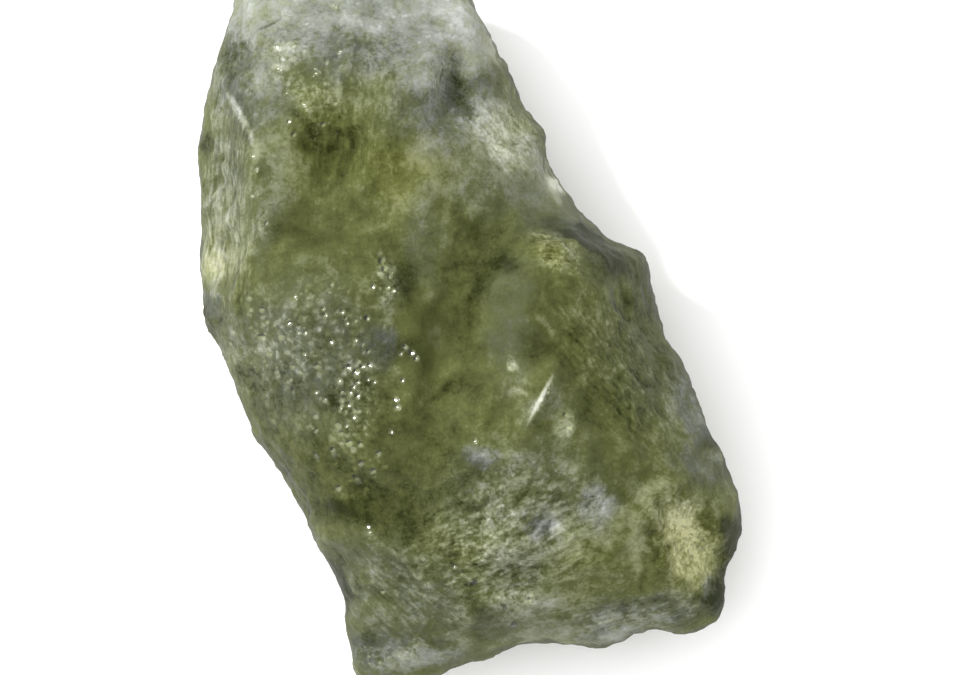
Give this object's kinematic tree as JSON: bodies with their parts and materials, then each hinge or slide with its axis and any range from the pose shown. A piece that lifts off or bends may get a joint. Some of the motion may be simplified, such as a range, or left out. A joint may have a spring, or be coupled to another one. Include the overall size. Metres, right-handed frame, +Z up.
{
  "type": "raw moldavite",
  "caption": "Raw piece of translucent olive-green natural glass, scalloped, pitted and flow-lined, lying on a small flat spot.",
  "frame": {"origin": "middle of the stone's bounding box, on the surface that it lies on", "axes": "+Z up from the resting plane, +Y along the stone towards its narrow end, +X to the right seen from above"},
  "size_m": [0.0218, 0.0292, 0.009],
  "materials": {
    "green_glass": "satin, etched natural glass, olive green, paler and yellower where thin"
  },
  "bodies": {
    "root": {"moldavite": "green_glass"}
  },
  "joints": []
}
